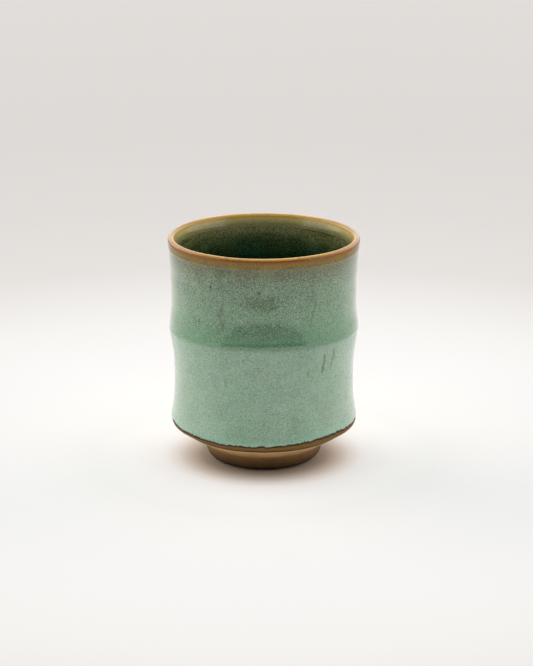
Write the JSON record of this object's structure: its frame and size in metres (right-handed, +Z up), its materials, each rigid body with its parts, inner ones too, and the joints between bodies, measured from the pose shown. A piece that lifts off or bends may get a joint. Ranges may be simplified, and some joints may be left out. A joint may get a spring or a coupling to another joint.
{
  "type": "yunomi tea cup",
  "caption": "Tall handleless stoneware tea cup with a soft ridge round its middle, glazed inside and out, standing on a turned foot ring.",
  "frame": {"origin": "centre of the foot ring's contact circle, on the table plane, which is also the bottom centre of the bounding box", "axes": "+Z up along the cup's axis, -Y towards the viewer of the picture, +X to the viewer's right"},
  "size_m": [0.078, 0.078, 0.0935],
  "materials": {
    "stoneware": "bare fired stoneware, matt, warm brown",
    "foot_stoneware": "bare fired stoneware, matt, toasted dark brown",
    "liner_glaze": "dark olive green glaze, glossy",
    "first_coat_glaze": "pale celadon green glaze, satin to glossy",
    "second_coat_glaze": "deeper green glaze that browns towards the lip, glossy",
    "rim_glaze": "amber brown glaze thinned over the lip, glossy"
  },
  "bodies": {
    "root": {"clay_body": "stoneware", "foot_ring": "foot_stoneware", "liner_glaze": "liner_glaze", "first_coat_glaze": "first_coat_glaze", "second_coat_glaze": "second_coat_glaze", "rim_glaze": "rim_glaze"}
  },
  "joints": []
}
